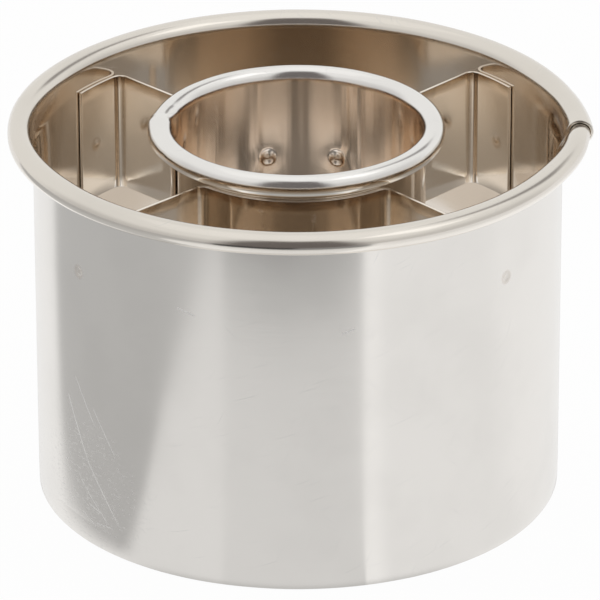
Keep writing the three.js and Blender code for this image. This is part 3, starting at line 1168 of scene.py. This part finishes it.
@dataclass
class DonutCutter:
    """The whole cutter: both rings, both straps and the fused metal of the welds."""

    straps: list[HatStrap] = field(default_factory=lambda: [
        HatStrap("front_strap", math.radians(-92.0)),
        HatStrap(
            "rear_strap",
            math.radians(90.5),
            foot_lengths=(9.9 * MM, 10.6 * MM),
            ring_weld_shift=math.radians(-2.75),
            lean=0.006,
        ),
    ])

    def strap_dents(self, row: WeldRow, side: Side, size: float, press: float) -> list[Dent]:
        """Finds the marks that the straps' welds leave in a ring.

        Args:
            row: The straps' welds on that ring.
            side: The ring's face that is pressed.
            size: Size of the marks against the common form.
            press: Depth of the marks against common ones of that size.

        Returns:
            One mark for each weld.
        """
        return [
            Dent(strap.angle + turn, strap.weld_height, side, size, press)
            for strap in self.straps
            for turn in strap.weld_turns(row)
        ]

    def rings(self) -> list[RolledRing]:
        """Describes the two rings.

        Returns:
            The outer ring and the inner ring.
        """
        outer = RolledRing(
            node="outer_ring",
            slot="outer_ring_steel",
            radius=BAND_RADIUS,
            height=65.72 * MM,
            rim_width=4.67 * MM,
            rim_height=3.58 * MM,
            lap_angle=math.radians(-2.5),
            lap_length=10.0 * MM,
            dents=self.strap_dents(WeldRow.FOOT, Side.BACK, size=0.65, press=1.5),
            side_squeeze=0.85 * MM,
        )
        inner = RolledRing(
            node="inner_ring",
            slot="inner_ring_steel",
            radius=CORE_RADIUS,
            height=65.38 * MM,
            rim_width=3.78 * MM,
            rim_height=3.7 * MM,
            lap_angle=math.radians(172.0),
            lap_length=8.0 * MM,
            dents=self.strap_dents(WeldRow.RING, Side.FACE, size=1.05, press=2.0),
            end_thinning=0.3 * MM,
            spring=0.0,
            station_step=math.radians(1.8),
        )
        return [outer, inner]

    def build(self) -> None:
        """Builds and dresses every piece, and logs each one."""
        outer, inner = self.rings()
        band = SteelFinish("band_steel", weld_heat=0.2, inner_radius=44.1 * MM, wear=0.5)
        core = SteelFinish(
            "core_steel",
            band_radius=CORE_RADIUS,
            # Painted reflection on the inner ring's rim, whiter than the outer one
            rim_reflection_tint=(0.90, 0.885, 0.87),
            bore_radius=21.2 * MM,
            ripple_lift=0.0,
            flute_lift=0.25,
            hairlines=0.1,
        )
        self.dress(outer.build(), band.material(outer.weld_places(), BAND_SCRATCHES))
        self.dress(inner.build(), core.material(inner.weld_places()))
        for strap in self.straps:
            strip = SteelFinish(
                f"{strap.node}_steel",
                # Painted warm cast of the light inside the cutter, over the whole strap
                inside_painted_tint=(0.95, 0.88, 0.79),
                roughness=0.22,
                ripple_lift=0.06,
                hairlines=0.1,
            )
            self.dress(strap.build(), strip.material(strap.weld_places()))
        weld = SteelFinish("weld_steel", roughness=0.45, hairlines=0.0).material([])
        for name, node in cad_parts.items():
            if name.endswith("_weld") or "_seam_weld_" in name:
                self.dress(node, weld)

    @staticmethod
    def dress(piece: bpy.types.Object, material: bpy.types.Material) -> None:
        """Gives a piece its material and logs it.

        Args:
            piece: The piece.
            material: Its material.
        """
        piece.data.materials.clear()
        piece.data.materials.append(material)
        LOG.info("%s: %d faces in %s", piece.name, len(piece.data.polygons), material.name)


@dataclass(frozen=True)
class FloorShade:
    """How the metal sees the floor: soft zones round the cutter's foot and inside it.

    Angles are degrees from the viewer's side towards +X, about a middle on the Y axis. Each shade
    is taken off the level of the open floor, or off white inside the cutter. The shades are painted
    shade and the streak is painted light, which only the metal's reflections show.
    """

    level: float = 0.94
    middle: float = -21.5 * MM

    # Towards the viewer, darker with the distance
    front_left: Edge = (-33.0, -29.0)
    front_right: Edge = (28.5, 27.0)
    front_shade: float = 0.19
    far: Edge = (-110.0 * MM, -160.0 * MM)
    far_shade: float = 0.05
    farthest: Edge = (-150.0 * MM, -187.0 * MM)
    farthest_shade: float = 0.46

    # To the left, past a round border, with a slanting end
    left_centre: tuple[float, float] = (2.0 * MM, -126.0 * MM)
    left_border: Edge = (95.0 * MM, 100.0 * MM)
    left_side: Edge = (0.0, -10.0 * MM)
    left_corner: tuple[float, float] = (-39.0 * MM, -25.0 * MM)
    left_slant: float = 0.94
    left_end: Edge = (-5.0 * MM, 6.0 * MM)
    left_shade: float = 0.45
    strip: Edge = (-29.0, -33.0)
    strip_shade: float = 0.13

    # To the right, past a bright streak
    streak_left: Edge = (27.0, 28.5)
    streak_right: Edge = (40.0, 31.0)
    streak_light: float = 0.06
    right_start: Edge = (31.0, 40.0)
    right_end: Edge = (100.0, 80.0)
    right_shade: float = 0.055

    # Inside the cutter: the middle of the hole, and the places that the straps shade
    inside: Edge = (46.0 * MM, 43.0 * MM)
    hole: Edge = (22.5 * MM, 21.0 * MM)
    hole_middle: Edge = (13.0 * MM, 5.0 * MM)
    hole_shade: float = 0.74
    hole_rear: Edge = (5.0 * MM, 9.0 * MM)
    hole_rear_shade: float = 0.14
    strap_width: Edge = (34.0 * MM, 18.0 * MM)
    strap_depth: Edge = (4.0 * MM, 14.0 * MM)
    strap_shade: float = 0.58

    def colour(self, shader: Shader) -> Signal:
        """Works out the floor's colour.

        Args:
            shader: The floor's shader.

        Returns:
            The colour at each place.
        """
        x, y, _ = shader.split(shader.read("ShaderNodeTexCoord", {}, {}, "Object"))
        reach = shader.length(x, y)
        outside = shader.blend(self.level - self.open_shade(shader, x, y), BLACK, WHITE)
        hole = shader.between(reach, *self.hole)
        deep = shader.between(y, *self.hole_rear) * self.hole_rear_shade + self.hole_shade
        in_hole = 1.0 - shader.between(abs(x), *self.hole_middle) * deep
        under = shader.between(abs(x), *self.strap_width)
        under = under * shader.between(abs(y), *self.strap_depth)
        level = in_hole * hole + (1.0 - hole) * (1.0 - under * self.strap_shade)
        within = shader.blend(level, BLACK, WHITE)
        return shader.blend(shader.between(reach, *self.inside), outside, within)

    def open_shade(self, shader: Shader, x: Signal, y: Signal) -> Signal:
        """Works out the shade of the floor round the cutter.

        Args:
            shader: The floor's shader.
            x: Place to the viewer's right.
            y: Place away from the viewer.

        Returns:
            The shade at each place.
        """
        azimuth = shader.math("ARCTAN2", x, self.middle - y) * DEGREES
        front = shader.within(azimuth, self.front_left, self.front_right)
        depth = shader.between(y, *self.far) * self.far_shade + self.front_shade
        depth = depth + shader.between(y, *self.farthest) * self.farthest_shade

        from_left = shader.length(x - self.left_centre[0], y - self.left_centre[1])
        past = shader.between(from_left, *self.left_border) * shader.between(x, *self.left_side)
        slant = self.left_corner[1] - self.left_slant * (x - self.left_corner[0]) - y
        left = past * shader.between(slant, *self.left_end)
        strip = (1.0 - past) * shader.between(azimuth, *self.strip)

        streak = shader.within(azimuth, self.streak_left, self.streak_right)
        right = shader.within(azimuth, self.right_start, self.right_end)
        return (
            front * depth
            + left * self.left_shade
            + strip * self.strip_shade
            + right * self.right_shade
            - streak * self.streak_light
        )


@dataclass(frozen=True)
class Surroundings:
    """The room round the cutter: soft light, dimmer low down, dark behind the viewer.

    Azimuths are degrees from the viewer's side towards +X, and elevations are degrees up from the
    horizon. A narrow dark upright stands behind the cutter, to the right.
    """

    soft: Triple = (0.86, 0.855, 0.835)
    dim: Triple = (0.66, 0.65, 0.635)
    dark: Triple = (0.16, 0.145, 0.14)
    viewer_left: Edge = (-36.0, -22.0)
    viewer_right: Edge = (31.0, 18.0)
    viewer_top: Edge = (80.0, 66.0)
    dim_top: Edge = (48.0, 15.0)
    dim_sides: Edge = (125.0, 95.0)
    upright_left: Edge = (134.0, 142.0)
    upright_right: Edge = (160.0, 152.0)
    upright_foot: Edge = (26.0, 34.0)
    upright_top: Edge = (64.0, 54.0)
    upright_share: float = 0.8

    def colour(self, shader: Shader) -> Signal:
        """Works out the room's colour.

        Args:
            shader: The world's shader.

        Returns:
            The colour in each direction.
        """
        x, y, z = shader.split(shader.read("ShaderNodeTexCoord", {}, {}, "Generated"))
        azimuth = shader.math("ARCTAN2", x, -y) * DEGREES
        elevation = shader.math("ARCSINE", z, 0.0) * DEGREES
        viewer = shader.within(azimuth, self.viewer_left, self.viewer_right)
        viewer = viewer * shader.between(elevation, *self.viewer_top)
        low = shader.between(elevation, *self.dim_top)
        low = low * shader.between(abs(azimuth), *self.dim_sides)
        upright = shader.within(azimuth, self.upright_left, self.upright_right)
        upright = upright * shader.within(elevation, self.upright_foot, self.upright_top)
        shaded = shader.most(viewer, upright * self.upright_share)
        return shader.blend(shaded, shader.blend(low, self.soft, self.dim), self.dark)


@dataclass(frozen=True)
class SoftBox:
    """A square lamp that faces the cutter.

    Attributes:
        name: Name of the lamp.
        place: Where it hangs.
        size: Its width and height.
        power: Its power in watts.
    """

    name: str
    place: Triple
    size: float
    power: float

    def build(self) -> None:
        """Hangs the lamp."""
        data = bpy.data.lights.new(self.name, "AREA")
        data.shape = "RECTANGLE"
        data.size = data.size_y = self.size
        data.energy = self.power
        lamp = bpy.data.objects.new(self.name, data)
        lamp.location = self.place
        lamp.rotation_euler = (-Vector(self.place)).to_track_quat("-Z", "Y").to_euler()
        bpy.context.scene.collection.objects.link(lamp)


@dataclass
class Studio:
    """Pale floor, soft surroundings, lamps and the camera."""

    eye: Vector = field(default_factory=lambda: Vector((0.347, -1015.985, 512.401)) * MM)
    target: Vector = field(default_factory=lambda: Vector((0.347, 0.0, 32.019)) * MM)
    roll: float = math.radians(-0.118)
    lens: float = 397.59  # millimetres, as Blender counts lenses and sensors
    sensor: float = 36.0
    clip_end: float = 50.0
    floor_size: float = 4.0
    floor_drop: float = 0.02 * MM
    floor_tint: Triple = (0.86, 0.855, 0.85)
    floor_roughness: float = 0.5
    floor_shade: FloorShade = FloorShade()
    eye_share: float = 0.97
    mirror_share: float = 0.9
    surroundings: Surroundings = Surroundings()
    lamps: tuple[SoftBox, ...] = (
        SoftBox("overhead", (0.1, 0.25, 1.2), 1.2, 0.4),
        SoftBox("softbox", (0.52, -0.09, 1.08), 0.45, 0.2),
    )
    bounces: int = 20
    gloss_bounces: int = 16

    def build(self) -> None:
        """Sets up the whole studio."""
        self.add_camera()
        self.add_floor()
        self.add_world()
        for lamp in self.lamps:
            lamp.build()
        scene = bpy.context.scene
        scene.view_settings.view_transform = "Standard"
        scene.cycles.max_bounces = self.bounces
        scene.cycles.glossy_bounces = self.gloss_bounces

    def add_camera(self) -> None:
        """Places the camera at the viewing angle."""
        data = bpy.data.cameras.new("view")
        data.lens = self.lens
        data.sensor_width = self.sensor
        data.clip_end = self.clip_end
        camera = bpy.data.objects.new("view", data)
        bpy.context.scene.collection.objects.link(camera)
        facing = (self.target - self.eye).to_track_quat("-Z", "Y")
        camera.rotation_euler = facing.to_euler()
        camera.rotation_euler.rotate_axis("Z", self.roll)
        camera.location = self.eye
        bpy.context.scene.camera = camera

    def add_floor(self) -> None:
        """Lays the floor, white to the eye, with the cutter's faint shadow."""
        half = self.floor_size / 2.0
        mesh = bpy.data.meshes.new("floor")
        corners = [(-half, -half, 0.0), (half, -half, 0.0), (half, half, 0.0), (-half, half, 0.0)]
        mesh.from_pydata(corners, [], [(0, 1, 2, 3)])
        floor = bpy.data.objects.new("floor", mesh)
        floor.location.z = -self.floor_drop
        bpy.context.scene.collection.objects.link(floor)

        material = bpy.data.materials.new("floor_white")
        material.use_nodes = True
        shader = Shader(material.node_tree)
        paths = shader.node("ShaderNodeLightPath", {}, {})
        eye, gloss, glass = (
            Signal(shader, paths.outputs[name])
            for name in ("Is Camera Ray", "Is Glossy Ray", "Is Transmission Ray")
        )
        # Glossy rays see the floor's painted shade and painted streak of light; other rays see
        # white
        seen = shader.blend(gloss, WHITE, self.floor_shade.colour(shader))
        white = shader.read("ShaderNodeEmission", {}, {"Color": seen, "Strength": 1.0}, 0)
        sockets = {"Base Color": (*self.floor_tint, 1.0), "Roughness": self.floor_roughness}
        board = shader.read("ShaderNodeBsdfPrincipled", {}, sockets, "BSDF")
        share = eye * self.eye_share + (gloss + glass) * self.mirror_share
        surface = shader.read("ShaderNodeMixShader", {}, {0: share, 1: board, 2: white}, 0)
        shader.node("ShaderNodeOutputMaterial", {}, {"Surface": surface})
        mesh.materials.append(material)

    def add_world(self) -> None:
        """Surrounds the cutter with the room."""
        world = bpy.data.worlds.new("studio")
        bpy.context.scene.world = world
        world.use_nodes = True
        shader = Shader(world.node_tree)
        sockets = {"Color": self.surroundings.colour(shader), "Strength": 1.0}
        surface = shader.read("ShaderNodeBackground", {}, sockets, 0)
        shader.node("ShaderNodeOutputWorld", {}, {"Surface": surface})


def main() -> None:
    """Builds the studio and the cutter."""
    logging.basicConfig(level=logging.INFO)
    Studio().build()
    DonutCutter().build()


if __name__ == "__main__":
    main()
